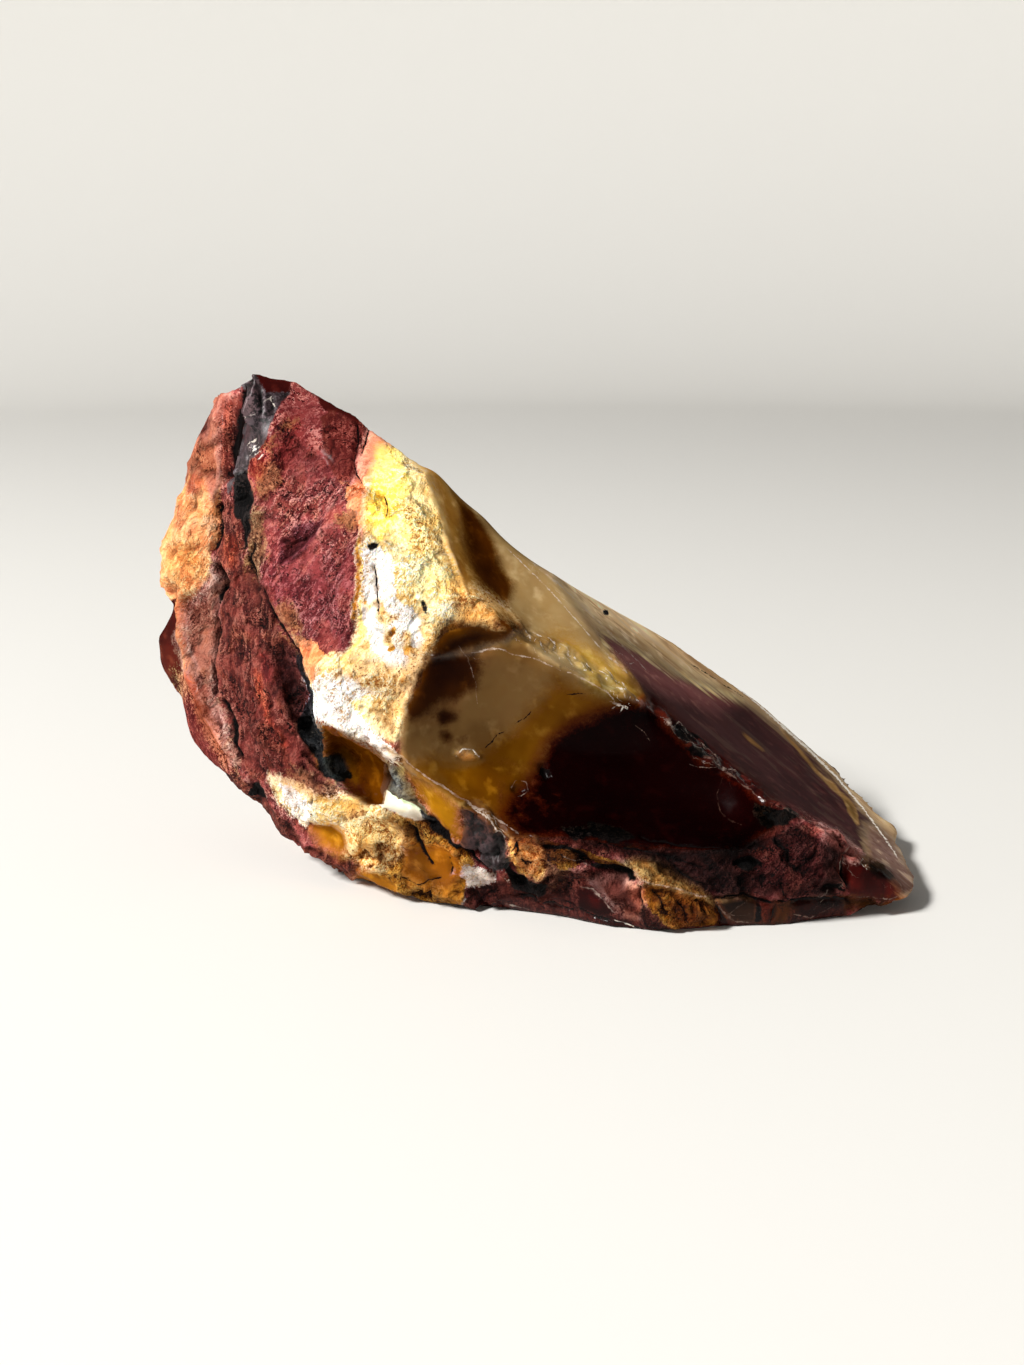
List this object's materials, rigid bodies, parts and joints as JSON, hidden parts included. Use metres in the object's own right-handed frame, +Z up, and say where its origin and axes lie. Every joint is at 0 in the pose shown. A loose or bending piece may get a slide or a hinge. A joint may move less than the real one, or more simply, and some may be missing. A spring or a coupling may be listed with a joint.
{
  "type": "rough mookaite jasper stone",
  "caption": "Rough lump of banded jasper with a peaked rough end, a jutting nose, a glassy scoop in its front, a long glassy slope down to a thin tip, and a flat foot.",
  "frame": {"origin": "on the foot plane, under the middle of the stone's box", "axes": "+X along the stone from the peaked end to the thin tip, +Y to the back, +Z up"},
  "size_m": [0.105, 0.056, 0.068],
  "materials": {
    "stone": "natural stone: dull and grainy on rough breaks, glassy on flake scars"
  },
  "bodies": {
    "root": {"mookaite_stone": "stone"}
  },
  "joints": []
}
